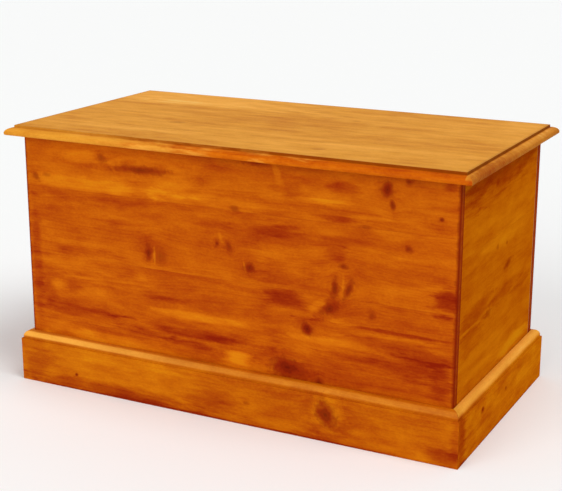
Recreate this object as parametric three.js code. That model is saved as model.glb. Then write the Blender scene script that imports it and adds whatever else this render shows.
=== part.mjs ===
// A pine blanket chest: a box of four panels and a bottom, a moulded plinth round its foot,
// and a loose lid with a moulded edge that rests on the panels.
//
// Millimetres, +Z up. X runs along the front, and the front faces -Y.
// The origin is on the floor, under the middle of the chest.

import * as THREE from "three";

// Carcase: the outside of the four panels, without plinth or lid.
const bodyWidth = 900;
const bodyDepth = 460;
const bodyHeight = 507;
const panelThickness = 19;

// Bottom board, let into a groove that runs round the inside of the panels.
const bottomThickness = 12;
const bottomAboveFloor = 45;
const grooveDepth = 8;

// Lid: how far its nose and its flat top reach past the panels, and the heights of its edge
// moulding. From the top down the edge has a small square step, a long thumbnail round and a nose.
const lidThickness = 19;
const lidNoseReach = 28;
const lidTopReach = 13;
const lidStepHeight = 4.8;
const lidNoseHeight = 4;
const lidNoseRadius = 3;

// Plinth: a board with an ovolo along its top. From the face up that is a step in, a low upright
// fillet and a quarter round, which leaves at least a narrow flat against the panels.
const plinthThickness = 19;
const plinthHeight = 103.5;
const plinthStepDepth = 3.2;
const plinthFilletHeight = 3.5;
const plinthRoundRadius = 12;
const plinthLeastFlat = 0.8;

// Clearance between pieces that touch.
const jointGap = 0.3;

// Straight stretches that stand for a quarter turn.
const quarterTurnSteps = 12;

// Colours of the stained and varnished outside, and of the bare bottom.
const stainedPine = { color: 0xc4660f, roughness: 0.38, metalness: 0 };
const lidPine = { color: 0xd48426, roughness: 0.34, metalness: 0 };
const plinthPine = { color: 0xc86c14, roughness: 0.38, metalness: 0 };
const barePine = { color: 0xd9b27c, roughness: 0.7, metalness: 0 };

const innerWidth = bodyWidth - 2 * panelThickness;
const innerDepth = bodyDepth - 2 * panelThickness;

function piece(name, geometry, finish) {
  geometry.computeVertexNormals();
  const mesh = new THREE.Mesh(geometry, new THREE.MeshStandardMaterial(finish));
  mesh.name = name;
  return mesh;
}

// Points on a quarter of an ellipse about (centreX, centreY), from its side to its top.
function quarterEllipse(centreX, centreY, radiusX, radiusY) {
  const points = [];
  for (let step = 0; step <= quarterTurnSteps; step += 1) {
    const turn = (step / quarterTurnSteps) * (Math.PI / 2);
    points.push(new THREE.Vector2(
      centreX + radiusX * Math.cos(turn),
      centreY + radiusY * Math.sin(turn),
    ));
  }
  return points;
}

// A section carried along a straight line. The section's x is the distance out from the inner
// face and its y is the height. The line runs along +X, centred, and the inner face looks to +Y.
// endGrowth is how much further each end reaches for each millimetre out: 0 cuts the ends
// square and 1 mitres them.
function runOfSection(section, halfLength, endGrowth) {
  const geometry = new THREE.ExtrudeGeometry(new THREE.Shape(section), {
    depth: 1,
    steps: 1,
    bevelEnabled: false,
  });
  const position = geometry.getAttribute("position");
  for (let index = 0; index < position.count; index += 1) {
    const out = position.getX(index);
    const height = position.getY(index);
    const end = 1 - 2 * position.getZ(index);
    position.setXYZ(index, end * (halfLength + endGrowth * out), -out, height);
  }
  return geometry;
}

// A closed board built of rectangles stacked from its underside up, each with its own reach.
// reachProfile gives, for each rectangle, how far it passes the given half sizes and its height.
function boardWithMouldedEdge(halfWidth, halfDepth, reachProfile) {
  const corners = [[-1, -1], [1, -1], [1, 1], [-1, 1]];
  const positions = [];
  for (const level of reachProfile) {
    for (const [sideX, sideY] of corners) {
      positions.push(sideX * (halfWidth + level.x), sideY * (halfDepth + level.x), level.y);
    }
  }
  const faces = [0, 2, 1, 0, 3, 2];
  for (let level = 0; level + 1 < reachProfile.length; level += 1) {
    for (let corner = 0; corner < 4; corner += 1) {
      const next = (corner + 1) % 4;
      const low = 4 * level;
      const high = low + 4;
      faces.push(low + corner, low + next, high + next, low + corner, high + next, high + corner);
    }
  }
  const top = 4 * (reachProfile.length - 1);
  faces.push(top, top + 1, top + 2, top, top + 2, top + 3);
  const geometry = new THREE.BufferGeometry();
  geometry.setAttribute("position", new THREE.Float32BufferAttribute(positions, 3));
  geometry.setIndex(faces);
  return geometry.toNonIndexed();
}

// Section of a panel: a plain board on edge, with the bottom board's groove in its inner face.
function panelSection() {
  const grooveLow = bottomAboveFloor - jointGap;
  const grooveHigh = bottomAboveFloor + bottomThickness + jointGap;
  return [
    new THREE.Vector2(0, 0),
    new THREE.Vector2(panelThickness, 0),
    new THREE.Vector2(panelThickness, bodyHeight),
    new THREE.Vector2(0, bodyHeight),
    new THREE.Vector2(0, grooveHigh),
    new THREE.Vector2(grooveDepth, grooveHigh),
    new THREE.Vector2(grooveDepth, grooveLow),
    new THREE.Vector2(0, grooveLow),
  ];
}

// Front and back panels run the full width; the side panels stand between them.
function addPanels(chest) {
  const section = panelSection();
  const sides = [
    ["front_panel", bodyWidth / 2, innerDepth / 2, 0],
    ["right_side_panel", innerDepth / 2 - jointGap, innerWidth / 2, 1],
    ["back_panel", bodyWidth / 2, innerDepth / 2, 2],
    ["left_side_panel", innerDepth / 2 - jointGap, innerWidth / 2, 3],
  ];
  for (const [name, halfLength, distance, quarterTurns] of sides) {
    const panel = piece(name, runOfSection(section, halfLength, 0), stainedPine);
    chest.add(standOnSide(panel, distance, quarterTurns));
  }
}

// Puts a piece made for the front at its distance from the middle, then turns it round to
// the side it belongs to.
function standOnSide(mesh, distance, quarterTurns) {
  const side = new THREE.Group();
  mesh.position.set(0, -distance, 0);
  side.rotation.z = quarterTurns * (Math.PI / 2);
  side.add(mesh);
  return side;
}

function addBottom(chest) {
  const tongue = 2 * (grooveDepth - jointGap);
  const geometry = new THREE.BoxGeometry(
    innerWidth + tongue,
    innerDepth + tongue,
    bottomThickness,
  );
  const board = piece("bottom_board", geometry, barePine);
  board.position.set(0, 0, bottomAboveFloor + bottomThickness / 2);
  chest.add(board);
}

// Section of the plinth, from its foot up: a plain face, a step in, an upright fillet, and a
// quarter round back to a flat against the panel.
function plinthSection() {
  const filletFace = plinthThickness - plinthStepDepth;
  const radius = Math.min(plinthRoundRadius, filletFace - plinthLeastFlat);
  const roundFoot = plinthHeight - radius;
  const stepTop = roundFoot - plinthFilletHeight;
  return [
    new THREE.Vector2(0, 0),
    new THREE.Vector2(plinthThickness, 0),
    new THREE.Vector2(plinthThickness, stepTop),
    new THREE.Vector2(filletFace, stepTop),
    ...quarterEllipse(filletFace - radius, roundFoot, radius, radius),
    new THREE.Vector2(0, plinthHeight),
  ];
}

// The plinth goes right round the panels, mitred at its four corners.
function addPlinth(chest) {
  const section = plinthSection();
  const mitreSetback = jointGap / Math.SQRT2;
  const acrossHalf = bodyWidth / 2 + jointGap;
  const deepHalf = bodyDepth / 2 + jointGap;
  const sides = [
    ["plinth_front", acrossHalf, deepHalf, 0],
    ["plinth_right", deepHalf, acrossHalf, 1],
    ["plinth_back", acrossHalf, deepHalf, 2],
    ["plinth_left", deepHalf, acrossHalf, 3],
  ];
  for (const [name, halfInside, distance, quarterTurns] of sides) {
    const geometry = runOfSection(section, halfInside - mitreSetback, 1);
    chest.add(standOnSide(piece(name, geometry, plinthPine), distance, quarterTurns));
  }
}

// Edge profile of the lid, from the underside up: x is the reach past the panels, y the height
// above the underside.
function lidEdgeProfile() {
  const thumbWidth = lidNoseReach - lidTopReach;
  const thumbHeight = lidThickness - lidStepHeight - lidNoseHeight;
  const noseRadius = Math.min(lidNoseRadius, lidNoseHeight);
  const noseCentre = lidNoseReach - noseRadius;
  const underNose = quarterEllipse(noseCentre, noseRadius, noseRadius, -noseRadius).reverse();
  return [
    ...underNose,
    ...quarterEllipse(lidTopReach, lidNoseHeight, thumbWidth, thumbHeight),
    new THREE.Vector2(lidTopReach, lidThickness),
  ];
}

function addLid(chest) {
  const geometry = boardWithMouldedEdge(bodyWidth / 2, bodyDepth / 2, lidEdgeProfile());
  const lid = piece("lid", geometry, lidPine);
  lid.position.set(0, 0, bodyHeight + jointGap);
  chest.add(lid);
}

const chest = new THREE.Group();
addPanels(chest);
addBottom(chest);
addPlinth(chest);
addLid(chest);

export default chest;
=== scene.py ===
"""Looks of a pine blanket chest: eased and moulded boards, and a stained, varnished pine with knots.

Metres, +Z up, X along the front, and the front faces -Y, as in the frame.
"""

import math

import bpy
import numpy as np
from mathutils import Matrix, Vector


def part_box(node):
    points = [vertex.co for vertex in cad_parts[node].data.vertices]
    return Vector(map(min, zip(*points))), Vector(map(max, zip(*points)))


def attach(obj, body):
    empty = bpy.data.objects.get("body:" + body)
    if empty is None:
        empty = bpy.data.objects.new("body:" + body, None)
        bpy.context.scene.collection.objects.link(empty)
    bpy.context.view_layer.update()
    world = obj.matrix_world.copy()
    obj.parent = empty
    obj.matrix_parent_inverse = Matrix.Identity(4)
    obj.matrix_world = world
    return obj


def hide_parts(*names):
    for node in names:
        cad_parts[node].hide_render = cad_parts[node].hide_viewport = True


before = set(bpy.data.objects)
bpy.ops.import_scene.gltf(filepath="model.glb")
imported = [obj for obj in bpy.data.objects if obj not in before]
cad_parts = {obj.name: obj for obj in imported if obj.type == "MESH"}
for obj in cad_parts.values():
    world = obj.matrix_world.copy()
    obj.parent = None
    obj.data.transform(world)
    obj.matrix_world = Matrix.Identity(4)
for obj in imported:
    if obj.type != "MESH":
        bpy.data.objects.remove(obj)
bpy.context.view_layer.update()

MM = 0.001

# Edge moulding of the lid, as the solids have it.
LID_TOP_REACH = 13 * MM
LID_STEP_HEIGHT = 4.8 * MM
LID_NOSE_HEIGHT = 4 * MM
LID_NOSE_RADIUS = 3 * MM

# Top edge of the plinth, as the solids have it.
PLINTH_STEP_DEPTH = 3.2 * MM
PLINTH_FILLET_HEIGHT = 3.5 * MM
PLINTH_ROUND_RADIUS = 12 * MM

# Groove in the panels' inner faces, as the solids have it.
GROOVE_DEPTH = 8 * MM
JOINT_GAP = 0.3 * MM

# How far sandpaper and varnish take the arrises off.
PANEL_EASE = 1.3 * MM
MITRE_EASE = 0.25 * MM
MOULDING_EASE = 0.8 * MM
CORNER_EASE = 1.0 * MM
# Strip of flat face kept beside each eased arris, so that the flat shades flat.
FLAT_STRIP = 0.6 * MM
LEAST_EASE = 0.3 * MM
EASE_STEPS = 4
QUARTER_TURN_STEPS = 24
SHARP_TURN = math.radians(24)
SMOOTH_ANGLE = math.radians(50)

# The camera, solved from the chest's edges in the photograph.
PHOTO_WIDTH = 562
FOCAL_PIXELS = 1291.8
SENSOR_WIDTH = 36.0
CAMERA_PLACE = (1.1339, -2.2140, 0.9839)
CAMERA_YAW = math.radians(-27.19)
CAMERA_PITCH = math.radians(15.77)
CAMERA_ROLL = math.radians(-0.04)


# Sizes read from the frame

front_low, front_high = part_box("front_panel")
side_low, side_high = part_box("right_side_panel")
bottom_low, bottom_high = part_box("bottom_board")
lid_low, lid_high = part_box("lid")
plinth_low, plinth_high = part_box("plinth_front")

body_half_width = front_high.x
body_half_depth = -front_low.y
body_height = front_high.z
panel_thickness = front_high.y - front_low.y
side_half_length = side_high.y
plinth_thickness = plinth_high.y - plinth_low.y
plinth_height = plinth_high.z
plinth_ledge = plinth_height - PLINTH_ROUND_RADIUS - PLINTH_FILLET_HEIGHT
lid_thickness = lid_high.z - lid_low.z
lid_nose_reach = lid_high.x - body_half_width


# Outlines and meshes

def quarter_ellipse(centre, radius_out, radius_up):
    """Points centre + (radius_out cos t, radius_up sin t), with t going from 0 to a quarter turn."""
    turn = np.linspace(0, math.pi / 2, QUARTER_TURN_STEPS + 1)
    arc = np.stack([radius_out * np.cos(turn), radius_up * np.sin(turn)], axis=1)
    return np.asarray(centre) + arc


def unit(vectors):
    """Each vector divided by its own length."""
    return vectors / np.linalg.norm(vectors, axis=-1, keepdims=True)


def drawn_in(section, distance):
    """A closed outline, anticlockwise, moved inwards. Each corner moves along the sum of its two
    edges' inward normals, divided by one plus their dot product, times the distance."""
    edge = unit(np.roll(section, -1, axis=0) - section)
    normal_after = np.stack([-edge[:, 1], edge[:, 0]], axis=1)
    normal_before = np.roll(normal_after, 1, axis=0)
    dot = np.sum(normal_before * normal_after, axis=1, keepdims=True)
    return section + distance * (normal_before + normal_after) / (1 + dot)


def sharp_corners(section):
    """Which corners of a closed outline turn by more than the sharp turn."""
    toward_before = unit(np.roll(section, 1, axis=0) - section)
    toward_after = unit(np.roll(section, -1, axis=0) - section)
    dot = np.sum(toward_before * toward_after, axis=1)
    return math.pi - np.arccos(np.clip(dot, -1, 1)) > SHARP_TURN


def eased(section, radius, sharp):
    """A closed outline with its sharp corners rounded. At each sharp corner V, with u and w the
    directions to its neighbours, the round is V + (1-t)^2 r u + t^2 r w, with t from 0 to 1, and
    a strip of the flat edge is kept on each side. The other corners stay as they are."""
    to_before = np.roll(section, 1, axis=0) - section
    to_after = np.roll(section, -1, axis=0) - section
    room = np.minimum(np.linalg.norm(to_before, axis=1), np.linalg.norm(to_after, axis=1))
    toward_before = unit(to_before)[:, None, :]
    toward_after = unit(to_after)[:, None, :]
    reach = np.minimum(radius, 0.3 * room)[:, None, None]
    strip = np.minimum(radius + FLAT_STRIP, 0.45 * room)[:, None, None]
    t = np.linspace(0, 1, EASE_STEPS + 1)[None, :, None]
    corner = section[:, None, :]
    rounds = np.concatenate([
        corner + strip * toward_before,
        corner + (1 - t) ** 2 * reach * toward_before + t ** 2 * reach * toward_after,
        corner + strip * toward_after,
    ], axis=1)
    return np.concatenate([
        rounds[index] if sharp[index] else section[index:index + 1]
        for index in range(len(section))
    ])


def mesh_from_rings(name, rings):
    """A closed mesh from an array of rings, indexed ring, point, coordinate. Neighbouring rings
    are joined by quads, and the first and last rings are closed by flat faces."""
    count, around, _ = rings.shape
    point = np.arange(around)
    following = (point + 1) % around
    base = (np.arange(count - 1) * around)[:, None]
    quads = np.stack([
        base + point, base + following, base + around + following, base + around + point,
    ], axis=2).reshape(-1, 4)
    first_cap = point[::-1].tolist()
    last_cap = ((count - 1) * around + point).tolist()
    mesh = bpy.data.meshes.new(name)
    mesh.from_pydata(rings.reshape(-1, 3), [], quads.tolist() + [first_cap, last_cap])
    mesh.validate()
    mesh.shade_smooth()
    mesh.set_sharp_from_angle(angle=SMOOTH_ANGLE)
    return mesh


def carried_board(section, half_length, end_growth, corner_ease, end_ease):
    """A section carried along a straight line, as rings. The section's first coordinate is the
    distance out and its second the height. Near each end the ring draws in by e (1 - cos t) and
    moves on by e sin t, so the end's arrises are round. A ring reaches half_length plus
    end_growth times the distance out, which cuts the ends square (0) or mitres them (1)."""
    turn = np.linspace(0, math.pi / 2, EASE_STEPS + 1)
    strip = min(FLAT_STRIP, end_ease)
    inset = np.concatenate([[0], end_ease * (1 - np.cos(turn)), [end_ease + strip]])
    back = np.concatenate([[end_ease + strip], end_ease * (1 - np.sin(turn)), [0]])
    sharp = sharp_corners(section)
    outlines = np.stack([
        eased(drawn_in(section, distance), max(corner_ease - distance, LEAST_EASE), sharp)
        for distance in inset
    ])
    out = outlines[:, :, 0]
    height = outlines[:, :, 1]
    along = half_length + end_growth * out - back[:, None]
    right_end = np.stack([along, -out, height], axis=2)
    left_end = np.stack([-along, -out, height], axis=2)
    return np.concatenate([left_end[::-1], right_end])


def turned(rings, distance, quarter_turns):
    """Rings made for the front, set at their distance from the middle, then turned about the
    upright axis by that many quarter turns."""
    angle = quarter_turns * math.pi / 2
    x = rings[:, :, 0]
    y = rings[:, :, 1] - distance
    cosine, sine = round(math.cos(angle)), round(math.sin(angle))
    return np.stack([cosine * x - sine * y, sine * x + cosine * y, rings[:, :, 2]], axis=2)


def rounded_rectangles(half_x, half_y, reach, height, corner_radius):
    """One ring for each reach and height: a rectangle of the half sizes plus the reach, with its
    corners rounded by quarter circles."""
    turn = np.linspace(0, math.pi / 2, EASE_STEPS + 1)
    quarter = np.arange(4)[:, None]
    angle = (quarter * math.pi / 2 + turn).ravel()
    sign_x = np.repeat([1, -1, -1, 1], EASE_STEPS + 1)
    sign_y = np.repeat([1, 1, -1, -1], EASE_STEPS + 1)
    reach = reach[:, None]
    x = sign_x * (half_x + reach - corner_radius) + corner_radius * np.cos(angle)
    y = sign_y * (half_y + reach - corner_radius) + corner_radius * np.sin(angle)
    z = np.broadcast_to(height[:, None], x.shape)
    return np.stack([x, y, z], axis=2)


# Pieces

def place(name, rings, material, slot):
    """Makes the rings into a piece that stands for the CAD node it is named after."""
    mesh = mesh_from_rings(name + "_wood", rings)
    mesh.materials.append(material)
    piece = bpy.data.objects.new(name + "_wood", mesh)
    bpy.context.scene.collection.objects.link(piece)
    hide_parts(name)
    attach(piece, "root")
    return piece


def panel_section():
    """A board on edge, with the bottom board's groove in its inner face."""
    groove_low = bottom_low.z - JOINT_GAP
    groove_high = bottom_high.z + JOINT_GAP
    return np.array([
        (0, 0),
        (panel_thickness, 0),
        (panel_thickness, body_height),
        (0, body_height),
        (0, groove_high),
        (GROOVE_DEPTH, groove_high),
        (GROOVE_DEPTH, groove_low),
        (0, groove_low),
    ])


def add_panels(materials):
    section = panel_section()
    inner_half_depth = body_half_depth - panel_thickness
    inner_half_width = body_half_width - panel_thickness
    sides = [
        ("front_panel", body_half_width, inner_half_depth, 0),
        ("right_side_panel", side_half_length, inner_half_width, 1),
        ("back_panel", body_half_width, inner_half_depth, 2),
        ("left_side_panel", side_half_length, inner_half_width, 3),
    ]
    for name, half_length, distance, quarter_turns in sides:
        rings = carried_board(section, half_length, 0, PANEL_EASE, PANEL_EASE)
        place(name, turned(rings, distance, quarter_turns), materials[name], "stained_pine")


def add_bottom(material):
    """A plain board with eased arrises: its own section is the rectangle seen from its end."""
    half_depth = bottom_high.y
    section = np.array([
        (-half_depth, bottom_low.z),
        (half_depth, bottom_low.z),
        (half_depth, bottom_high.z),
        (-half_depth, bottom_high.z),
    ])
    rings = carried_board(section, bottom_high.x, 0, PANEL_EASE, PANEL_EASE)
    place("bottom_board", rings, material, "bare_pine")


def plinth_section():
    """From the foot up: a plain face, a step in, an upright fillet, and a quarter round back to
    a flat against the panel."""
    fillet_face = plinth_thickness - PLINTH_STEP_DEPTH
    round_foot = plinth_height - PLINTH_ROUND_RADIUS
    centre = (fillet_face - PLINTH_ROUND_RADIUS, round_foot)
    return np.concatenate([
        [(0, 0), (plinth_thickness, 0), (plinth_thickness, plinth_ledge)],
        [(fillet_face, plinth_ledge)],
        quarter_ellipse(centre, PLINTH_ROUND_RADIUS, PLINTH_ROUND_RADIUS),
        [(0, plinth_height)],
    ])


def add_plinth(materials):
    section = plinth_section()
    setback = JOINT_GAP / math.sqrt(2)
    across_half = body_half_width + JOINT_GAP
    deep_half = body_half_depth + JOINT_GAP
    sides = [
        ("plinth_front", across_half, deep_half, 0),
        ("plinth_right", deep_half, across_half, 1),
        ("plinth_back", across_half, deep_half, 2),
        ("plinth_left", deep_half, across_half, 3),
    ]
    for name, half_inside, distance, quarter_turns in sides:
        rings = carried_board(section, half_inside - setback, 1, MOULDING_EASE, MITRE_EASE)
        place(name, turned(rings, distance, quarter_turns), materials[name], "stained_pine_plinth")


def lid_edge():
    """The edge's outline from the middle of the underside round to the middle of the top, as
    reach past the panels and height above the underside."""
    thumb_width = lid_nose_reach - LID_TOP_REACH
    thumb_height = lid_thickness - LID_STEP_HEIGHT - LID_NOSE_HEIGHT
    nose_centre = (lid_nose_reach - LID_NOSE_RADIUS, LID_NOSE_RADIUS)
    under_nose = quarter_ellipse(nose_centre, LID_NOSE_RADIUS, -LID_NOSE_RADIUS)[::-1]
    thumb = quarter_ellipse((LID_TOP_REACH, LID_NOSE_HEIGHT), thumb_width, thumb_height)
    flat_end = LID_NOSE_RADIUS + FLAT_STRIP
    top_strip = MOULDING_EASE + FLAT_STRIP
    return np.concatenate([
        [(lid_nose_reach - flat_end, 0)],
        under_nose,
        thumb,
        quarter_ellipse(
            (LID_TOP_REACH - MOULDING_EASE, lid_thickness - MOULDING_EASE),
            MOULDING_EASE,
            MOULDING_EASE,
        ),
        [(LID_TOP_REACH - top_strip, lid_thickness)],
    ])


def add_lid(material):
    edge = lid_edge()
    rings = rounded_rectangles(
        body_half_width, body_half_depth, edge[:, 0], lid_low.z + edge[:, 1], CORNER_EASE,
    )
    place("lid", rings, material, "stained_pine_lid")


# Shader building

def value_into(tree, socket, value):
    """Links value into the socket if it is another socket, and sets it if it is a number."""
    if isinstance(value, bpy.types.NodeSocket):
        tree.links.new(value, socket)
    else:
        socket.default_value = value


def math_node(tree, operation, first, second=None, third=None):
    node = tree.nodes.new("ShaderNodeMath")
    node.operation = operation
    for socket, value in zip(node.inputs, (first, second, third)):
        if value is not None:
            value_into(tree, socket, value)
    return node.outputs[0]


def times(tree, first, second):
    return math_node(tree, "MULTIPLY", first, second)


def times_plus(tree, first, second, third):
    return math_node(tree, "MULTIPLY_ADD", first, second, third)


def minus(tree, first, second):
    return math_node(tree, "SUBTRACT", first, second)


def vector_node(tree, operation, first, second=None):
    node = tree.nodes.new("ShaderNodeVectorMath")
    node.operation = operation
    value_into(tree, node.inputs[0], first)
    if second is not None:
        value_into(tree, node.inputs[1], second)
    return node.outputs["Value" if operation == "LENGTH" else "Vector"]


def ramp_between(tree, value, start, end):
    """0 where value is at start and 1 where it is at end, smooth between and held outside."""
    node = tree.nodes.new("ShaderNodeMapRange")
    node.interpolation_type = "SMOOTHSTEP"
    value_into(tree, node.inputs["Value"], value)
    value_into(tree, node.inputs["From Min"], start)
    value_into(tree, node.inputs["From Max"], end)
    return node.outputs["Result"]


def noise(tree, vector, scale, detail=2.0, roughness=0.5):
    """Smooth noise about 0, mostly between -0.3 and 0.3."""
    node = tree.nodes.new("ShaderNodeTexNoise")
    tree.links.new(vector, node.inputs["Vector"])
    node.inputs["Scale"].default_value = scale
    node.inputs["Detail"].default_value = detail
    node.inputs["Roughness"].default_value = roughness
    return minus(tree, node.outputs["Fac"], 0.5)


def weighted_sum(tree, start, parts):
    """start plus each part times its weight."""
    total = start
    for part, weight in parts:
        total = times_plus(tree, part, weight, total)
    return total


def combine(tree, x, y, z):
    node = tree.nodes.new("ShaderNodeCombineXYZ")
    for socket, value in zip(node.inputs, (x, y, z)):
        value_into(tree, socket, value)
    return node.outputs["Vector"]


def separate(tree, vector):
    node = tree.nodes.new("ShaderNodeSeparateXYZ")
    tree.links.new(vector, node.inputs["Vector"])
    return node.outputs["X"], node.outputs["Y"], node.outputs["Z"]


# The Mix node's two inputs and its output, by number, because sockets of each kind share names
MIX_SOCKETS = {"FLOAT": (2, 3, 0), "RGBA": (6, 7, 2)}


def mix_node(tree, kind, factor, first, second, blend="MIX"):
    node = tree.nodes.new("ShaderNodeMix")
    node.data_type = kind
    node.blend_type = blend
    first_socket, second_socket, result = MIX_SOCKETS[kind]
    value_into(tree, node.inputs["Factor"], factor)
    value_into(tree, node.inputs[first_socket], first)
    value_into(tree, node.inputs[second_socket], second)
    return node.outputs[result]


def mix_colour(tree, factor, first, second, blend="MIX"):
    return mix_node(tree, "RGBA", factor, first, second, blend)


def new_group(name, inputs, outputs):
    """An empty shader node group with the named inputs and outputs, and its two end nodes."""
    group = bpy.data.node_groups.new(name, "ShaderNodeTree")
    for socket_name, kind in inputs:
        group.interface.new_socket(socket_name, in_out="INPUT", socket_type="NodeSocket" + kind)
    for socket_name, kind in outputs:
        group.interface.new_socket(socket_name, in_out="OUTPUT", socket_type="NodeSocket" + kind)
    start = group.nodes.new("NodeGroupInput")
    end = group.nodes.new("NodeGroupOutput")
    return group, start.outputs, end.inputs


def use_group(tree, group, **values):
    """Places the group in the tree. Names of inputs are given with _ for a space."""
    node = tree.nodes.new("ShaderNodeGroup")
    node.node_tree = group
    for name, value in values.items():
        value_into(tree, node.inputs[name.replace("_", " ")], value)
    return node.outputs


def new_material(name):
    """A material, with its tree and its shader."""
    material = bpy.data.materials.new(name)
    material.use_nodes = True
    return material, material.node_tree, material.node_tree.nodes["Principled BSDF"]


def add_relief(tree, shader, height, strength, distance):
    """Makes the surface look raised where the height is above 0."""
    bump = tree.nodes.new("ShaderNodeBump")
    bump.inputs["Strength"].default_value = strength
    bump.inputs["Distance"].default_value = distance
    tree.links.new(height, bump.inputs["Height"])
    tree.links.new(bump.outputs["Normal"], shader.inputs["Normal"])


# Where a knot's core, its halo and a smear start and where they are full, in half sizes from
# the centre
KNOT_CORE = (1.35, 0.45)
KNOT_HALO = (2.6, 0.9)
SMEAR_FADE = (1.3, 0.35)
KNOT_RAGGEDNESS = 1.3
# How far the grain swerves across a smear of strength 1.
SMEAR_SWERVE = 6 * MM
# Half size of a mark through the board, large enough that the mark is the same at every depth.
RIGHT_THROUGH = 1000.0


def knot_group():
    """A knot and the grain that bends round it.

    d is the distance from the knot's centre with each direction divided by the knot's half size
    and with a ragged edge from noise. The core is 1 inside d = 0.45 and 0 outside d = 1.35, and the
    halo fades out at d = 2.6. The timber coordinate that goes out is moved towards the middle by
    its distance across the grain divided by one plus d squared, so the grain parts round the
    knot. Knots are chained, and each reads the coordinate that the one before has moved."""
    tree, inside, out = new_group(
        "knot",
        [
            ("Timber", "Vector"), ("Centre", "Vector"), ("Half Size", "Vector"),
            ("Tilt", "Float"), ("Darkness", "Float"), ("Ripple", "Float"),
            ("Core", "Float"), ("Halo", "Float"), ("Rings", "Float"),
        ],
        [("Timber", "Vector"), ("Core", "Float"), ("Halo", "Float"), ("Rings", "Float")],
    )
    scaled = placed_ellipse(tree, inside)
    distance = vector_node(tree, "LENGTH", scaled)
    unevenness = times_plus(tree, inside["Ripple"], KNOT_RAGGEDNESS, 1.0)
    ragged = times(tree, distance, unevenness)
    core = ramp_between(tree, ragged, *KNOT_CORE)
    halo = ramp_between(tree, ragged, *KNOT_HALO)
    fade = times_plus(tree, distance, distance, 1.0)
    height = vector_node(tree, "MULTIPLY", scaled, inside["Half Size"])
    push = vector_node(tree, "MULTIPLY", height, (0, -1, 0))
    push = vector_node(tree, "DIVIDE", push, combine(tree, fade, fade, fade))
    tree.links.new(vector_node(tree, "ADD", inside["Timber"], push), out["Timber"])
    for mask, name in ((core, "Core"), (halo, "Halo")):
        dark = times(tree, mask, inside["Darkness"])
        tree.links.new(math_node(tree, "MAXIMUM", dark, inside[name]), out[name])
    rings = mix_node(tree, "FLOAT", core, inside["Rings"], ragged)
    tree.links.new(rings, out["Rings"])
    return tree


def placed_ellipse(tree, inside):
    """The coordinate from the centre, turned by the tilt and divided by the half size."""
    node = tree.nodes.new("ShaderNodeMapping")
    node.vector_type = "TEXTURE"
    tree.links.new(inside["Timber"], node.inputs["Vector"])
    tree.links.new(inside["Centre"], node.inputs["Location"])
    tree.links.new(combine(tree, 0.0, 0.0, inside["Tilt"]), node.inputs["Rotation"])
    tree.links.new(inside["Half Size"], node.inputs["Scale"])
    return node.outputs["Vector"]


def smear_group():
    """A soft lighter or darker patch: an ellipse that fades from d = 0.35 to d = 1.3, added to
    the tone handed in. The grain under it swerves a little."""
    tree, inside, out = new_group(
        "smear",
        [
            ("Timber", "Vector"), ("Centre", "Vector"), ("Half Size", "Vector"),
            ("Tilt", "Float"), ("Strength", "Float"), ("Ripple", "Float"), ("Tone", "Float"),
        ],
        [("Timber", "Vector"), ("Tone", "Float")],
    )
    distance = vector_node(tree, "LENGTH", placed_ellipse(tree, inside))
    ragged = times(tree, distance, math_node(tree, "ADD", inside["Ripple"], 1.0))
    patch = ramp_between(tree, ragged, *SMEAR_FADE)
    added = times(tree, patch, inside["Strength"])
    tree.links.new(math_node(tree, "ADD", added, inside["Tone"]), out["Tone"])
    swerve = combine(tree, 0.0, times(tree, added, SMEAR_SWERVE), 0.0)
    tree.links.new(vector_node(tree, "ADD", inside["Timber"], swerve), out["Timber"])
    return tree


BOARD_WIDTH = 135 * MM
LID_BOARD_WIDTH = 129 * MM
BOTTOM_BOARD_WIDTH = 110 * MM
# A joint between boards is dark from its edge to its middle.
JOINT_EDGE = 0.9 * MM
JOINT_MIDDLE = 0.2 * MM

# The log behind a board: how deep its heart lies, how far it may lie to the side and how much it
# may slope, how far its rings wander, and how far apart they are
HEART_DEPTH = 48 * MM
HEART_SIDE_SPREAD = 0.12
HEART_SLOPE_SPREAD = 0.09
RING_WANDER = 45 * MM
RING_SPACING = 4.2 * MM
RING_UNEVENNESS = 3.0

# Marks in the figure: how many there are in a metre along and across the grain, and the detail
# and roughness of their noise
WOOD_MARKS = {
    "Streak": (3.0, 42.0, 3.0, 0.55),
    "Cloud": (1.7, 9.0, 2.0, 0.5),
    "Blotch": (14.0, 40.0, 3.0, 0.6),
    "Fibre": (16.0, 620.0, 2.0, 0.6),
    "Speckle": (170.0, 330.0, 2.0, 0.6),
}


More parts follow.
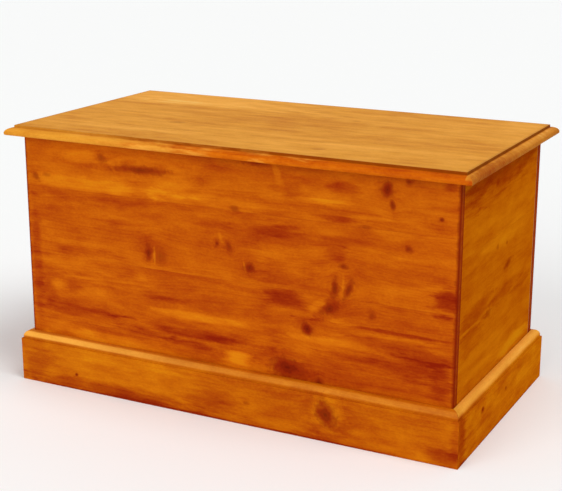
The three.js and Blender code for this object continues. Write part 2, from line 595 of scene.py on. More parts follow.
def pine_group():
    """The figure of flat-sawn pine boards glued edge to edge.

    Each board is cut from a log of its own, whose heart lies behind the face and slopes. A point's
    ring is its distance from that heart, with slow noise so that the rings wander, divided by the
    ring spacing. Within a ring the wood darkens as the cube of the way through it and then drops
    back. Streaks are noise stretched along the grain."""
    tree, inside, out = new_group(
        "pine",
        [
            ("Timber", "Vector"), ("Bent", "Vector"), ("Face", "Float"),
            ("Board Width", "Float"), ("First Joint", "Float"), ("Seed", "Float"),
        ],
        [(name, "Float") for name in ("Late Wood", *WOOD_MARKS, "Board", "Joint")],
    )
    _, straight_across, _ = separate(tree, inside["Timber"])
    along, across, through = separate(tree, inside["Bent"])
    from_joint = minus(tree, straight_across, inside["First Joint"])
    place_in_boards = math_node(tree, "DIVIDE", from_joint, inside["Board Width"])
    board = math_node(tree, "FLOOR", place_in_boards)
    share = math_node(tree, "FRACT", place_in_boards)
    other_share = minus(tree, 1.0, share)
    nearest = math_node(tree, "MINIMUM", share, other_share)
    joint_distance = times(tree, nearest, inside["Board Width"])
    tree.links.new(ramp_between(tree, joint_distance, JOINT_EDGE, JOINT_MIDDLE), out["Joint"])

    chance = tree.nodes.new("ShaderNodeTexWhiteNoise")
    chance.noise_dimensions = "2D"
    tree.links.new(combine(tree, board, inside["Seed"], 0.0), chance.inputs["Vector"])
    first, second, third = separate(tree, chance.outputs["Color"])
    tree.links.new(third, out["Board"])

    # Every board starts somewhere else in the noise.
    start_along = times_plus(tree, first, 9.0, along)
    start_across = times_plus(tree, second, 5.0, inside["Seed"])
    depth = math_node(tree, "ABSOLUTE", minus(tree, through, inside["Face"]))

    def stretched(place_across, along_scale, across_scale, detail, roughness):
        """Noise whose spots are longer along the grain than across it."""
        vector = combine(
            tree,
            times(tree, start_along, along_scale),
            times_plus(tree, place_across, across_scale, start_across),
            times(tree, depth, across_scale),
        )
        return noise(tree, vector, 1.0, detail, roughness)

    wander = stretched(across, 1.3, 5.0, 3.0, 0.5)
    grain_across = times_plus(tree, wander, RING_WANDER, across)

    middle_share = math_node(tree, "ADD", board, 0.5)
    middle = times_plus(tree, middle_share, inside["Board Width"], inside["First Joint"])
    to_side = minus(tree, first, 0.5)
    heart_side = times(tree, to_side, HEART_SIDE_SPREAD)
    uphill = minus(tree, second, 0.5)
    slope = times(tree, uphill, HEART_SLOPE_SPREAD)
    heart_depth = times_plus(tree, along, slope, HEART_DEPTH)
    from_middle = minus(tree, grain_across, middle)
    sideways = minus(tree, from_middle, heart_side)
    inwards = math_node(tree, "ADD", depth, heart_depth)
    radius = vector_node(tree, "LENGTH", combine(tree, sideways, inwards, 0.0))
    uneven = noise(tree, combine(tree, radius, start_across, 0.0), 45.0, 2.0)
    rings = math_node(tree, "DIVIDE", radius, RING_SPACING)
    phase = times_plus(tree, uneven, RING_UNEVENNESS, rings)
    way_through = math_node(tree, "FRACT", phase)
    rise = math_node(tree, "POWER", way_through, 3.0)
    drop = ramp_between(tree, way_through, 1.0, 0.88)
    ring_chance = tree.nodes.new("ShaderNodeTexWhiteNoise")
    ring_chance.noise_dimensions = "1D"
    tree.links.new(math_node(tree, "FLOOR", phase), ring_chance.inputs["W"])
    strength = times_plus(tree, ring_chance.outputs["Value"], 0.75, 0.25)
    late = times(tree, times(tree, rise, drop), strength)
    tree.links.new(late, out["Late Wood"])
    for name, noise_values in WOOD_MARKS.items():
        tree.links.new(stretched(grain_across, *noise_values), out[name])
    return tree


def arris_group():
    """How close a point of a squared board is to an arris: the second smallest of its distances
    to the board's faces along the three axes. The output is 1 on the arris and 0 at Width."""
    tree, inside, out = new_group(
        "near_arris",
        [("Place", "Vector"), ("Low", "Vector"), ("High", "Vector"), ("Width", "Float")],
        [("Near", "Float")],
    )
    above = separate(tree, vector_node(tree, "SUBTRACT", inside["Place"], inside["Low"]))
    below = separate(tree, vector_node(tree, "SUBTRACT", inside["High"], inside["Place"]))
    x, y, z = [math_node(tree, "MINIMUM", low, high) for low, high in zip(above, below)]
    smaller = math_node(tree, "MINIMUM", x, y)
    larger = math_node(tree, "MAXIMUM", x, y)
    second = math_node(tree, "MAXIMUM", smaller, math_node(tree, "MINIMUM", larger, z))
    tree.links.new(ramp_between(tree, second, inside["Width"], 0.0), out["Near"])
    return tree


GROUPS = {
    "knot": knot_group(),
    "smear": smear_group(),
    "pine": pine_group(),
    "arris": arris_group(),
}


# Stain colours, from the darkest streaks to the brightest, each at its place on the tone scale
STAIN = [
    (0.05, (0.25, 0.012, 0.0005, 1)),
    (0.25, (0.345, 0.033, 0.0008, 1)),
    (0.40, (0.43, 0.060, 0.001, 1)),
    (0.55, (0.52, 0.095, 0.001, 1)),
    (0.75, (0.63, 0.145, 0.002, 1)),
    (0.95, (0.70, 0.205, 0.003, 1)),
]
# Paler stain, used as painted highlight and painted top light
HIGHLIGHT_STAIN = [
    (0.20, (0.54, 0.172, 0.010, 1)),
    (0.50, (0.70, 0.288, 0.026, 1)),
    (0.90, (0.88, 0.400, 0.060, 1)),
    (1.00, (0.87, 0.490, 0.110, 1)),
]
BARE_WOOD = [
    (0.10, (0.48, 0.230, 0.085, 1)),
    (0.50, (0.62, 0.370, 0.175, 1)),
    (0.90, (0.72, 0.480, 0.260, 1)),
]
KNOT_HEART = (0.13, 0.006, 0.0005, 1)
KNOT_WOOD = (0.33, 0.024, 0.001, 1)
END_GRAIN = (0.34, 0.052, 0.001, 1)
LID_END_GRAIN = (0.43, 0.165, 0.020, 1)
# Colour of the stain and painted shade in the mouldings' inner corners
MOULDING_SHADE_AND_STAIN = (0.17, 0.034, 0.001, 1)
SOAKED_EDGE = (0.19, 0.008, 0.0005, 1)


def tone_ramp(tree, tone, stops):
    """Colours at their places along the tone, from 0 to 1."""
    node = tree.nodes.new("ShaderNodeValToRGB")
    elements = node.color_ramp.elements
    while len(elements) < len(stops):
        elements.new(0.5)
    for element, (place_on_ramp, colour) in zip(elements, stops):
        element.position = place_on_ramp
        element.color = colour
    tree.links.new(tone, node.inputs["Fac"])
    return node.outputs["Color"]


# Share of painted top light on the round at the lid's ends.
LID_ROUND_TOP_LIGHT = 0.7


def lit_top_and_sheen(tree, place_xyz, normal_xyz):
    """Painted top light and sheen: paler on the lid's flat top, and by a share on the upper part of
    the round at its ends.
    """
    level = ramp_between(tree, normal_xyz[2], 0.93, 0.995)
    at_top = ramp_between(tree, place_xyz[2], lid_high.z - 1.5 * MM, lid_high.z - 0.5 * MM)
    flat = times(tree, level, at_top)
    out = math_node(tree, "ABSOLUTE", place_xyz[0])
    ledge_end = body_half_width + LID_TOP_REACH
    past_ledge = ramp_between(tree, out, ledge_end + 0.5 * MM, ledge_end + 2.0 * MM)
    upward = ramp_between(tree, normal_xyz[2], 0.35, 0.95)
    sloping_end = times(tree, past_ledge, upward)
    lit_end = times(tree, sloping_end, LID_ROUND_TOP_LIGHT)
    return math_node(tree, "MAXIMUM", flat, lit_end)


def highlight_on_round(clean_flat, left_share, right_share, full_slope=0.35):
    """A painted highlight on the plinth's round, but not on the ledge, and only by a share,
    clean_flat, on the flat against the panel. The highlight is full where the normal's upward part
    passes full_slope, and goes from left_share to right_share along the front."""
    def share_at(tree, place_xyz, normal_xyz):
        sloping = ramp_between(tree, normal_xyz[2], -0.05, full_slope)
        level = ramp_between(tree, normal_xyz[2], 0.80, 0.98)
        not_level = times_plus(tree, level, clean_flat - 1, 1.0)
        above_ledge = ramp_between(
            tree, place_xyz[2], plinth_ledge + 0.5 * MM, plinth_ledge + PLINTH_FILLET_HEIGHT,
        )
        rightward = ramp_between(tree, place_xyz[0], -body_half_width, 0.2 * body_half_width)
        highlight_share = times_plus(tree, rightward, right_share - left_share, left_share)
        share = times(tree, sloping, not_level)
        share = times(tree, share, above_ledge)
        return times(tree, share, highlight_share)
    return share_at


# Inner corners of the mouldings, darkened by stain and by painted shade: reach past the panels,
# height, where the darkening ends, where it is full, and its share
LID_QUIRK_SHADE_AND_STAIN = (
    LID_TOP_REACH - 1.0 * MM, lid_high.z - 0.35 * LID_STEP_HEIGHT, 6.0 * MM, 1.5 * MM, 0.68,
)
LEDGE_SHADE_AND_STAIN = (
    plinth_thickness - PLINTH_STEP_DEPTH, plinth_ledge + 0.5 * MM, 4.0 * MM, 1.0 * MM, 0.08,
)


def with_corner_shade_and_stain(tree, colour, place_xyz, ripple, painted_light, corner_shade_and_stain):
    """Dark stain and painted shade in an inner corner of a moulding, weaker where the wood carries
    painted highlight. The reach of a point is the larger of its distances past the panels along X
    and Y, and the darkening fades with the distance from the corner in reach and height."""
    corner_reach, corner_height, shade_end, shade_full, share = corner_shade_and_stain
    past_x = minus(tree, math_node(tree, "ABSOLUTE", place_xyz[0]), body_half_width)
    past_y = minus(tree, math_node(tree, "ABSOLUTE", place_xyz[1]), body_half_depth)
    reach = math_node(tree, "MAXIMUM", past_x, past_y)
    from_corner = minus(tree, reach, corner_reach)
    above_corner = minus(tree, place_xyz[2], corner_height)
    distance = vector_node(tree, "LENGTH", combine(tree, from_corner, above_corner, 0.0))
    ragged = times_plus(tree, ripple, 2.0 * MM, distance)
    strength = times_plus(tree, painted_light, -0.6 * share, share)
    mask = times(tree, ramp_between(tree, ragged, shade_end, shade_full), strength)
    return mix_colour(tree, mask, colour, MOULDING_SHADE_AND_STAIN)


# How an arris is coloured: the colour, its share, how wide it is, and the noise where it starts
WORN_ARRIS = (STAIN[-1][1], 0.25, 3.5 * MM, -0.05)
SOAKED_ARRIS = (SOAKED_EDGE, 0.85, 6.5 * MM, -0.60)


def with_arrises(tree, colour, place, box, ripple, end_mask, arris):
    """Wood worn lighter, or stained darker, along the arrises of a squared board, twice as wide
    on the end grain."""
    arris_colour, share, width, ripple_start = arris
    wider = times_plus(tree, end_mask, width, width)
    near = use_group(
        tree, GROUPS["arris"], Place=place, Low=tuple(box[0]), High=tuple(box[1]),
        Width=times_plus(tree, ripple, 2 * width, wider),
    )["Near"]
    patchy = ramp_between(tree, ripple, ripple_start, ripple_start + 0.3)
    mask = times(tree, near, patchy)
    return mix_colour(tree, times(tree, mask, share), colour, arris_colour)


def with_smears(tree, bent, tone, marks, ripple):
    """The timber coordinate and tone after a chain of soft patches."""
    for along, across, half_length, half_height, tilt, strength in marks:
        made = use_group(
            tree, GROUPS["smear"], Timber=bent, Centre=(along, across, 0),
            Half_Size=(half_length, half_height, RIGHT_THROUGH), Tilt=tilt, Strength=strength,
            Ripple=ripple, Tone=tone,
        )
        bent, tone = made["Timber"], made["Tone"]
    return bent, tone


def with_knots(tree, bent, marks, ripple):
    """The timber coordinate after a chain of knots, with their cores, halos and rings."""
    core, halo, rings = 0.0, 0.0, 0.0
    for along, across, half_length, half_height, tilt, darkness in marks:
        made = use_group(
            tree, GROUPS["knot"], Timber=bent, Centre=(along, across, 0),
            Half_Size=(half_length, half_height, RIGHT_THROUGH), Tilt=tilt, Darkness=darkness,
            Ripple=ripple, Core=core, Halo=halo, Rings=rings,
        )
        bent, core, halo, rings = [made[name] for name in ("Timber", "Core", "Halo", "Rings")]
    return bent, core, halo, rings


def knot_colour(tree, rings):
    """A dark heart that fades outwards, with faint rings."""
    wave = math_node(tree, "SINE", times(tree, rings, 19.0))
    heart_fade = times_plus(tree, rings, -0.8, 0.9)
    heart_share = times_plus(tree, wave, 0.08, heart_fade)
    return mix_colour(tree, heart_share, KNOT_WOOD, KNOT_HEART)


def end_grain_colour(tree, end_grain, tone, ripple, late):
    """End grain soaks up more stain in spots, in the late wood, and where the tone is dark."""
    spots = times_plus(tree, ripple, 0.9, 0.1)
    dark = math_node(tree, "MAXIMUM", spots, late)
    from_tone = times_plus(tree, tone, -0.9, 0.9 * MIDDLE_TONE)
    dark = math_node(tree, "MAXIMUM", math_node(tree, "ADD", dark, from_tone), 0.0)
    return mix_colour(tree, dark, end_grain, STAIN[0][1])


# The tone of plain wood, and how much each mark lightens or darkens it
MIDDLE_TONE = 0.55
TONE_WEIGHTS = {"Streak": 0.36, "Cloud": 0.42, "Blotch": 0.66, "Fibre": 0.10, "Speckle": 0.26}
HALO_WEIGHT = -0.10
BOARD_WEIGHT = 0.03
JOINT_SHARE = 0.12

# For each side, which of X, Y and Z runs along the grain, across it and through the board, and
# which way along the last one the side looks
SIDES = {
    "front": ("XZY", -1),
    "back": ("XZY", 1),
    "left": ("YZX", -1),
    "right": ("YZX", 1),
    "top": ("XYZ", 1),
}


def stained_pine(name, node, side, seed, first_joint, knots=(), smears=(), board_width=BOARD_WIDTH,
                 brightness=0.0, contrast=1.0, late_wood=0.11, gloss=0.02, painted_light_where=None,
                 painted_light_patches=(), highlight_lift=0.0, tint=(1, 1, 1, 1), end_grain=END_GRAIN,
                 end_slopes=(0.55, 0.95), arris=WORN_ARRIS, corner_shade_and_stain=None, bare_inside=False):
    """A stained and varnished board, for the CAD node that it replaces. painted_light_where gives
    the share of painted highlight colour at a point, painted_light_patches are painted highlight
    too, and highlight_lift makes the highlight colour brighter. end_slopes are the parts of the
    normal along the grain between which end grain shows, and bare_inside leaves the side that looks
    inwards unfinished."""
    axes, outward = SIDES[side]
    grain_axis, across_axis, through_axis = ["XYZ".index(axis) for axis in axes]
    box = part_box(node)
    material, tree, shader = new_material(name)
    coordinates = tree.nodes.new("ShaderNodeTexCoord")
    place_xyz = separate(tree, coordinates.outputs["Object"])
    normal_xyz = separate(tree, coordinates.outputs["Normal"])
    timber = combine(tree, place_xyz[grain_axis], place_xyz[across_axis], place_xyz[through_axis])
    ripple = noise(tree, timber, 95.0, 2.0, 0.6)
    feathered = vector_node(tree, "MULTIPLY", timber, (14, 75, 75))
    broad_ripple = times(tree, noise(tree, feathered, 1.0, 3.0, 0.6), 2.2)

    bent, patch = with_smears(tree, timber, 0.0, smears, broad_ripple)
    bent, core, halo, rings = with_knots(tree, bent, knots, ripple)
    figure = use_group(
        tree, GROUPS["pine"], Timber=timber, Bent=bent, Seed=seed, Board_Width=board_width,
        First_Joint=first_joint, Face=box[1 if outward > 0 else 0][through_axis],
    )
    board_chance = minus(tree, figure["Board"], 0.5)
    weights = [(figure[mark], weight) for mark, weight in TONE_WEIGHTS.items()]
    weights += [
        (figure["Late Wood"], -late_wood), (halo, HALO_WEIGHT), (board_chance, BOARD_WEIGHT),
    ]
    tone = weighted_sum(
        tree, math_node(tree, "ADD", patch, MIDDLE_TONE + brightness),
        [(part, weight * contrast) for part, weight in weights],
    )

    stain = tone_ramp(tree, tone, STAIN)
    # Paler colour for painted highlight and painted top light
    highlight_colour = tone_ramp(tree, math_node(tree, "ADD", tone, highlight_lift), HIGHLIGHT_STAIN)
    _, painted_light = with_smears(tree, timber, 0.0, painted_light_patches, broad_ripple)
    if painted_light_where:
        painted_light = math_node(tree, "MAXIMUM", painted_light_where(tree, place_xyz, normal_xyz), painted_light)
    stain = mix_colour(tree, 1.0, stain, tint, "MULTIPLY")
    # Painted highlight and painted top light mixed into the stain
    stain = mix_colour(tree, painted_light, stain, highlight_colour)
    knotty = mix_colour(tree, core, stain, knot_colour(tree, rings))

    grain_end = math_node(tree, "ABSOLUTE", normal_xyz[grain_axis])
    end_mask = ramp_between(tree, grain_end, *end_slopes)
    end_share = times(tree, end_mask, times_plus(tree, painted_light, -0.6, 0.85))
    end_tone = end_grain_colour(tree, end_grain, tone, ripple, figure["Late Wood"])
    with_ends = mix_colour(tree, end_share, knotty, end_tone)
    joint_share = times(tree, figure["Joint"], JOINT_SHARE)
    with_joints = mix_colour(tree, joint_share, with_ends, STAIN[0][1])
    finished = with_arrises(
        tree, with_joints, coordinates.outputs["Object"], box, ripple, end_mask, arris,
    )
    # Stain and painted shade in the moulding's inner corner
    if corner_shade_and_stain:
        finished = with_corner_shade_and_stain(tree, finished, place_xyz, ripple, painted_light, corner_shade_and_stain)
    if bare_inside:
        inward = times(tree, normal_xyz[through_axis], -outward)
        bare = ramp_between(tree, inward, 0.4, 0.8)
        finished = mix_colour(tree, bare, finished, tone_ramp(tree, tone, BARE_WOOD))
    tree.links.new(finished, shader.inputs["Base Color"])

    rough = weighted_sum(tree, 0.45, [(figure["Fibre"], 0.25), (end_share, 0.2)])
    tree.links.new(rough, shader.inputs["Roughness"])
    shine = times_plus(tree, end_share, -gloss, gloss)
    tree.links.new(shine, shader.inputs["Specular IOR Level"])
    waves = noise(tree, timber, 14.0, 2.0)
    height = weighted_sum(tree, 0.0, [
        (figure["Late Wood"], 0.05), (figure["Fibre"], 0.06), (waves, 1.0),
        (figure["Joint"], -0.25), (core, 0.15),
    ])
    add_relief(tree, shader, height, 0.6, 1.0 * MM)
    return material


def bare_pine():
    """Planed boards with no stain or varnish, for the bottom."""
    material, tree, shader = new_material("bare_pine")
    timber = tree.nodes.new("ShaderNodeTexCoord").outputs["Object"]
    figure = use_group(
        tree, GROUPS["pine"], Timber=timber, Bent=timber, Face=bottom_low.z,
        Board_Width=BOTTOM_BOARD_WIDTH, First_Joint=0.0, Seed=83.0,
    )
    tone = weighted_sum(tree, 0.5, [
        (figure["Streak"], 0.5), (figure["Cloud"], 0.4), (figure["Fibre"], 0.2),
        (figure["Late Wood"], -0.5),
    ])
    colour = tone_ramp(tree, tone, BARE_WOOD)
    joint_share = times(tree, figure["Joint"], 0.4)
    tree.links.new(mix_colour(tree, joint_share, colour, STAIN[0][1]), shader.inputs["Base Color"])
    rough = times_plus(tree, figure["Fibre"], 0.3, 0.7)
    tree.links.new(rough, shader.inputs["Roughness"])
    add_relief(tree, shader, figure["Fibre"], 0.5, 0.5 * MM)
    return material


# Knots and smears, listed where the photograph has them, in millimetres: along from the left
# end of the front, down from its upper edge, half length, half height, tilt in degrees, and a
# knot's darkness or a smear's strength, which is above 0 where it lightens the wood
FRONT_KNOTS = [
    (268, 45, 58, 7.5, 1, 0.75),
    (512, 5, 24, 7, 0, 0.8),
    (768, 28, 12, 12, 20, 0.95),
    (778, 49, 5, 11, 15, 0.8),
    (807, 11, 6, 4, 0, 0.7),
    (24, 79, 12, 6, -45, 0.55),
    (50, 75, 11, 4, 0, 0.35),
    (181, 32, 10, 8, -30, 0.55),
    (470, 94, 10, 7, 0, 0.55),
    (867, 68, 4.5, 4, 0, 0.85),
    (809, 124, 7, 6, 0, 0.75),
    (729, 97, 10, 4, 0, 0.45),
    (432, 165, 5, 6, 0, 0.8),
    (457, 167, 6, 11, 25, 0.6),
    (282, 203, 8, 16, -5, 0.85),
    (308, 206, 15, 15, 0, 0.4),
    (500, 201, 11, 10, 0, 0.85),
    (672, 217, 8, 18, 0, 0.85),
    (699, 215, 7, 19, -24, 0.8),
    (662, 247, 20, 9, 45, 0.85),
    (688, 181, 10, 5, 0, 0.7),
    (618, 297, 12, 11, 10, 1.0),
    (744, 254, 7, 9, 0, 0.45),
    (578, 378, 33, 18, 0, 1.0),
    (642, 392, 7, 11, 0, 0.85),
]
FRONT_SMEARS = [
    (140, 84, 170, 16, 0, 0.21),
    (340, 68, 60, 24, 15, 0.26),
    (212, 36, 18, 8, 0, 0.20),
    (185, 135, 80, 15, 0, 0.16),
    (582, 50, 30, 13, 0, -0.20),
    (690, 34, 36, 14, 0, -0.22),
    (420, 84, 120, 14, 0, 0.16),
    (648, 67, 42, 3, 0, 0.14),
    (745, 82, 60, 3.5, 0, 0.16),
    (110, 24, 60, 20, 0, 0.10),
    (653, 61, 48, 4, 0, 0.30),
    (555, 18, 8, 26, 20, 0.18),
    (300, 110, 260, 10, 0, -0.12),
    (545, 131, 85, 12, 0, -0.20),
    (575, 118, 28, 6, 0, -0.20),
    (676, 91, 38, 7, 0, -0.22),
    (690, 128, 60, 8, 0, -0.16),
    (580, 165, 100, 18, 0, 0.12),
    (676, 158, 22, 12, 0, -0.20),
    (795, 175, 90, 20, 0, -0.10),
    (576, 251, 44, 18, -6, -0.30),
    (120, 252, 120, 18, 0, 0.16),
    (214, 276, 110, 13, 0, 0.16),
    (18, 250, 13, 125, 0, -0.20),
    (125, 219, 70, 12, 0, -0.20),
    (44, 314, 22, 30, 0, -0.20),
    (370, 372, 60, 9, 0, -0.24),
    (492, 398, 64, 13, 0, 0.26),
    (136, 29, 48, 12, 0, 0.22),
    (542, 216, 70, 14, 0, -0.20),
    (66, 297, 26, 10, 0, 0.20),
    (150, 300, 34, 12, 0, 0.12),
    (390, 318, 120, 9, 0, 0.26),
    (650, 320, 70, 9, 0, 0.26),
    (315, 291, 52, 7, 0, -0.18),
    (690, 283, 30, 6, 0, 0.20),
    (790, 284, 120, 4, 0, -0.26),
    (790, 294, 110, 4, 0, 0.14),
    (780, 309, 95, 10, 0, -0.18),
    (876, 362, 20, 36, 0, -0.24),
    (186, 397, 120, 18, 0, 0.22),
    (388, 351, 135, 14, 3, -0.24),
    (440, 356, 30, 8, 0, -0.12),
    (270, 368, 62, 9, 0, -0.16),
    (90, 345, 90, 18, 0, -0.22),
    (476, 382, 32, 16, 0, 0.42),
    (75, 385, 60, 14, 0, 0.18),
    (800, 347, 120, 17, 0, -0.22),
    (840, 320, 70, 14, 0, -0.14),
    (200, 160, 150, 30, 0, -0.05),
    (886, 212, 28, 24, 0, -0.48),
    (295, 211, 2.5, 18, 0, 0.30),
    (490, 204, 3, 13, 15, 0.22),
    (438, 150, 5, 12, 20, 0.14),
    (638, 254, 9, 26, -50, 0.20),
    (688, 210, 3, 16, 0, 0.16),
    (883, 11, 14, 8, 0, -0.28),
    # Painted shade: the lower right of the front darker
    (640, 395, 330, 60, 0, -0.07),
]

# The same on the right side, along from its front edge.
SIDE_KNOTS = [
    (280, 214, 20, 7, 12, 0.6),
    (196, 44, 8, 6, 0, 0.5),
    (172, 280, 18, 9, 0, 0.45),
    (212, 166, 8, 6, 0, 0.4),
    (268, 172, 5, 4, 0, 0.5),
]
SIDE_SMEARS = [
    # The first two are painted shadow under the lid
    (220, 22, 260, 34, 0, -0.27),
    (60, 40, 60, 34, 0, -0.06),
    (100, 262, 90, 22, 6, -0.20),
    (80, 302, 76, 28, 0, -0.16),
    (270, 262, 90, 16, 4, -0.16),
    (380, 275, 70, 12, 5, -0.16),
    (330, 385, 110, 16, 0, 0.25),
    (260, 150, 190, 30, 4, 0.10),
    (150, 372, 90, 14, 0, 0.06),
]

# The same on the plinth's front and right faces, along from their left ends and down from the top.
PLINTH_KNOTS = [
    (684, 49, 20, 27, 32, 0.92),
    (134, 72, 4, 4, 0, 0.9),
    (520, 60, 6, 4, 0, 0.4),
]
PLINTH_SMEARS = [
    (684, 49, 36, 40, 32, 0.28),
    (225, 92, 250, 17, 0, -0.24),
    (442, 64, 64, 24, 0, -0.20),
    (690, 82, 44, 16, 0, -0.16),
    (40, 62, 42, 34, 0, -0.22),
    (240, 27, 200, 15, 0, 0.14),
    (915, 88, 42, 22, 0, -0.30),
    (934, 52, 12, 44, 0, -0.18),
    (560, 100, 330, 8, 0, -0.14),
    # Painted contact shadow along the foot
    (469, 103, 480, 2.5, 0, -0.35),
]
PLINTH_END_SMEARS = [
    (14, 52, 22, 70, 0, -0.26),
    # Painted contact shadow along the foot
    (249, 103, 260, 2.5, 0, -0.35),
]

# The same on the lid, along and back from its front left corner. The highlight patch is a painted
# reflection of light on the left part of the front moulding.
LID_HIGHLIGHT_PATCHES = [
    (0, 0, 440, 60, 0, 1.0),
]
LID_SMEARS = [
    # The first two are a painted highlight along the nose of the front moulding
    (440, 0, 190, 3.5, 0, 0.22),
    (800, 0, 190, 8, 0, 0.08),
    (952, 90, 9, 120, 0, -0.30),
    (952, 420, 9, 130, 0, 0.25),
    (200, 90, 170, 20, 2, 0.16),
    (420, 200, 200, 14, 0, -0.14),
    (700, 120, 150, 16, 0, 0.12),
    (620, 330, 220, 18, 0, -0.12),
    (500, 275, 170, 50, 0, -0.10),
    (190, 452, 250, 80, 0, 0.30),
    (905, 450, 50, 70, 0, 0.20),
    (250, 400, 200, 22, 0, 0.14),
    (860, 260, 90, 24, 0, -0.10),
]
LID_KNOTS = [
    (282, 187, 16, 9, 0, 0.30),
    (643, 75, 12, 8, 0, 0.25),
    (590, 357, 10, 7, 0, 0.2),
]


# Which way the second number of a mark runs: down a face, or back over the lid.
DOWN = -1
BACK = 1


def in_frame(marks, start, edge, direction):
    """Turns marks in millimetres and degrees into metres and radians in the frame. They start at
    start along the grain, and run in the direction given from the edge across it."""
    return [
        (start + along * MM, edge + direction * across * MM, length * MM, height * MM,
         math.radians(tilt), strength)
        for along, across, length, height, tilt, strength in marks
    ]


def scattered_knots(seed, count, low, high):
    """Knots at chance places on a face that the photograph doesn't show."""
    chance = np.random.default_rng(seed)
    along = chance.uniform(low[0], high[0], count)
    across = chance.uniform(low[1], high[1], count)
    half_length = chance.uniform(5, 17, count) * MM
    flatness = chance.uniform(0.55, 1.0, count)
    tilt = chance.uniform(-0.3, 0.3, count)
    darkness = chance.uniform(0.4, 0.95, count)
    return list(zip(along, across, half_length, half_length * flatness, tilt, darkness))


def front_marks(marks):
    return in_frame(marks, -body_half_width, body_height, DOWN)


def side_marks(marks):
    return in_frame(marks, -body_half_depth, body_height, DOWN)


def lid_marks(marks):
    return in_frame(marks, lid_low.x, lid_low.y, BACK)


def hidden_panel_knots(node, grain_axis, seed, count):
    """Chance knots on a panel above the plinth."""
    low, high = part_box(node)
    return scattered_knots(
        seed, count, (low[grain_axis], plinth_height), (high[grain_axis], body_height),
    )


def panel_materials():
    """Panels are stained outside and bare inside. The photograph shows the front and right."""
    return {
        "front_panel": stained_pine(
            "stained_pine_front", "front_panel", "front", 3.0, 2 * MM,
            front_marks(FRONT_KNOTS), front_marks(FRONT_SMEARS), brightness=-0.015,
            tint=(0.95, 0.98, 1, 1), arris=SOAKED_ARRIS, bare_inside=True,
        ),
        "right_side_panel": stained_pine(
            "stained_pine_right", "right_side_panel", "right", 11.0, 95 * MM,
            side_marks(SIDE_KNOTS), side_marks(SIDE_SMEARS), brightness=0.05, contrast=0.7,
            gloss=0.0, tint=(0.86, 1.05, 1, 1), bare_inside=True,
        ),
        "left_side_panel": stained_pine(
            "stained_pine_left", "left_side_panel", "left", 23.0, 60 * MM,
            hidden_panel_knots("left_side_panel", 1, 5, 8), bare_inside=True,
        ),
        "back_panel": stained_pine(
            "stained_pine_back", "back_panel", "back", 31.0, 40 * MM,
            hidden_panel_knots("back_panel", 0, 9, 16), arris=SOAKED_ARRIS, bare_inside=True,
        ),
    }


def lid_material():
    return stained_pine(
        "stained_pine_lid", "lid", "top", 47.0, -12 * MM, lid_marks(LID_KNOTS),
        lid_marks(LID_SMEARS), LID_BOARD_WIDTH, brightness=-0.03, contrast=1.15, late_wood=0.03,
        painted_light_where=lit_top_and_sheen, painted_light_patches=lid_marks(LID_HIGHLIGHT_PATCHES),
        end_grain=LID_END_GRAIN, end_slopes=(0.10, 0.50), corner_shade_and_stain=LID_QUIRK_SHADE_AND_STAIN,
    )


# How strong the painted highlight on the plinth's round is on each side, as its function takes it
ROUND_HIGHLIGHT = {
    "front": (0.15, 1.0, 0.22),
    "back": (0.15, 0.4, 0.4),
    "left": (0.6, 0.6, 0.6),
    "right": (1.0, 0.85, 0.85, 0.75),
}
# Heights between which chance knots lie on the plinth.
PLINTH_KNOT_HEIGHTS = (20 * MM, 80 * MM)


def plinth_material(side, seed, knots, smears=(), gloss=0.02, tint=(0.95, 1.18, 0.9, 1)):
    node = "plinth_" + side
    return stained_pine(
        "stained_pine_" + node, node, side, seed, -10 * MM, knots, smears, brightness=0.02,
        gloss=gloss, tint=tint, painted_light_where=highlight_on_round(*ROUND_HIGHLIGHT[side]), highlight_lift=0.25,
        corner_shade_and_stain=LEDGE_SHADE_AND_STAIN,
    )


def hidden_plinth_knots(side, grain_axis, seed, count):
    """Chance knots on the plinth's plain face."""
    low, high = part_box("plinth_" + side)
    lowest, highest = PLINTH_KNOT_HEIGHTS
    return scattered_knots(seed, count, (low[grain_axis], lowest), (high[grain_axis], highest))


def plinth_marks(marks, side, grain_axis):
    low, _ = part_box("plinth_" + side)
    return in_frame(marks, low[grain_axis], plinth_height, DOWN)


def plinth_materials():
    return {
        "plinth_front": plinth_material(
            "front", 59.0, plinth_marks(PLINTH_KNOTS, "front", 0),
            plinth_marks(PLINTH_SMEARS, "front", 0),
        ),
        "plinth_back": plinth_material("back", 61.0, hidden_plinth_knots("back", 0, 13, 4)),
        "plinth_left": plinth_material("left", 67.0, hidden_plinth_knots("left", 1, 67, 2)),
        "plinth_right": plinth_material(
            "right", 71.0, hidden_plinth_knots("right", 1, 71, 2),
            plinth_marks(PLINTH_END_SMEARS, "right", 1), gloss=0.0, tint=(0.98, 1.38, 1.5, 1),
        ),
    }


# Studio

FLOOR_HALF_SIZE = 20.0
PAPER_COLOUR = (0.93, 0.945, 0.955, 1)
SKY_COLOUR = (0.985, 0.98, 0.97, 1)
SKY_STRENGTH = 0.5
SUN_COLOUR = (1, 0.99, 0.97)


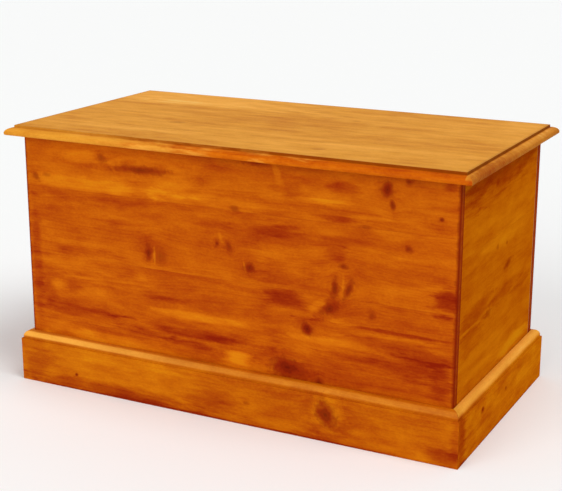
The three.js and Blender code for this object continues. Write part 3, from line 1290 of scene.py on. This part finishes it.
def add_camera():
    """The camera looks along (sin yaw cos pitch, cos yaw cos pitch, -sin pitch); its right and down
    directions are turned by the roll about that line."""
    forward = np.array([
        math.sin(CAMERA_YAW) * math.cos(CAMERA_PITCH),
        math.cos(CAMERA_YAW) * math.cos(CAMERA_PITCH),
        -math.sin(CAMERA_PITCH),
    ])
    level = np.array([math.cos(CAMERA_YAW), -math.sin(CAMERA_YAW), 0])
    down = -np.cross(level, forward)
    right = level * math.cos(CAMERA_ROLL) + down * math.sin(CAMERA_ROLL)
    down = down * math.cos(CAMERA_ROLL) - level * math.sin(CAMERA_ROLL)
    data = bpy.data.cameras.new("camera")
    data.sensor_width = SENSOR_WIDTH
    data.lens = FOCAL_PIXELS * SENSOR_WIDTH / PHOTO_WIDTH
    data.clip_end = 100
    camera = bpy.data.objects.new("camera", data)
    turn = np.stack([right, -down, -forward], axis=1)
    matrix = np.eye(4)
    matrix[:3, :3] = turn
    matrix[:3, 3] = CAMERA_PLACE
    camera.matrix_world = Matrix(matrix.tolist())
    bpy.context.scene.collection.objects.link(camera)
    bpy.context.scene.camera = camera


def add_sun(name, toward, spread, strength):
    """A broad, even light from the direction given, as wide in the sky as the spread in degrees."""
    data = bpy.data.lights.new(name, "SUN")
    data.energy = strength
    data.angle = math.radians(spread)
    data.color = SUN_COLOUR
    light = bpy.data.objects.new(name, data)
    light.rotation_euler = Vector(toward).to_track_quat("Z", "Y").to_euler()
    bpy.context.scene.collection.objects.link(light)


def add_studio():
    floor_mesh = bpy.data.meshes.new("floor")
    corners = [(-1, -1), (1, -1), (1, 1), (-1, 1)]
    floor_mesh.from_pydata(
        [(x * FLOOR_HALF_SIZE, y * FLOOR_HALF_SIZE, 0) for x, y in corners], [], [(0, 1, 2, 3)],
    )
    floor = bpy.data.objects.new("floor", floor_mesh)
    bpy.context.scene.collection.objects.link(floor)
    paper, _, shader = new_material("pale_paper")
    shader.inputs["Base Color"].default_value = PAPER_COLOUR
    shader.inputs["Roughness"].default_value = 0.9
    shader.inputs["Specular IOR Level"].default_value = 0.1
    floor_mesh.materials.append(paper)

    world = bpy.data.worlds.new("studio")
    bpy.context.scene.world = world
    world.use_nodes = True
    background = world.node_tree.nodes["Background"]
    background.inputs["Color"].default_value = SKY_COLOUR
    background.inputs["Strength"].default_value = SKY_STRENGTH

    add_sun("key", (-0.25, -0.88, 0.40), 45, 0.42 * math.pi)
    add_sun("top", (0.58, -0.10, 0.81), 35, 0.46 * math.pi)
    bpy.context.scene.view_settings.view_transform = "Standard"
    bpy.context.scene.view_settings.look = "None"


add_camera()
add_panels(panel_materials())
add_bottom(bare_pine())
add_plinth(plinth_materials())
add_lid(lid_material())
add_studio()
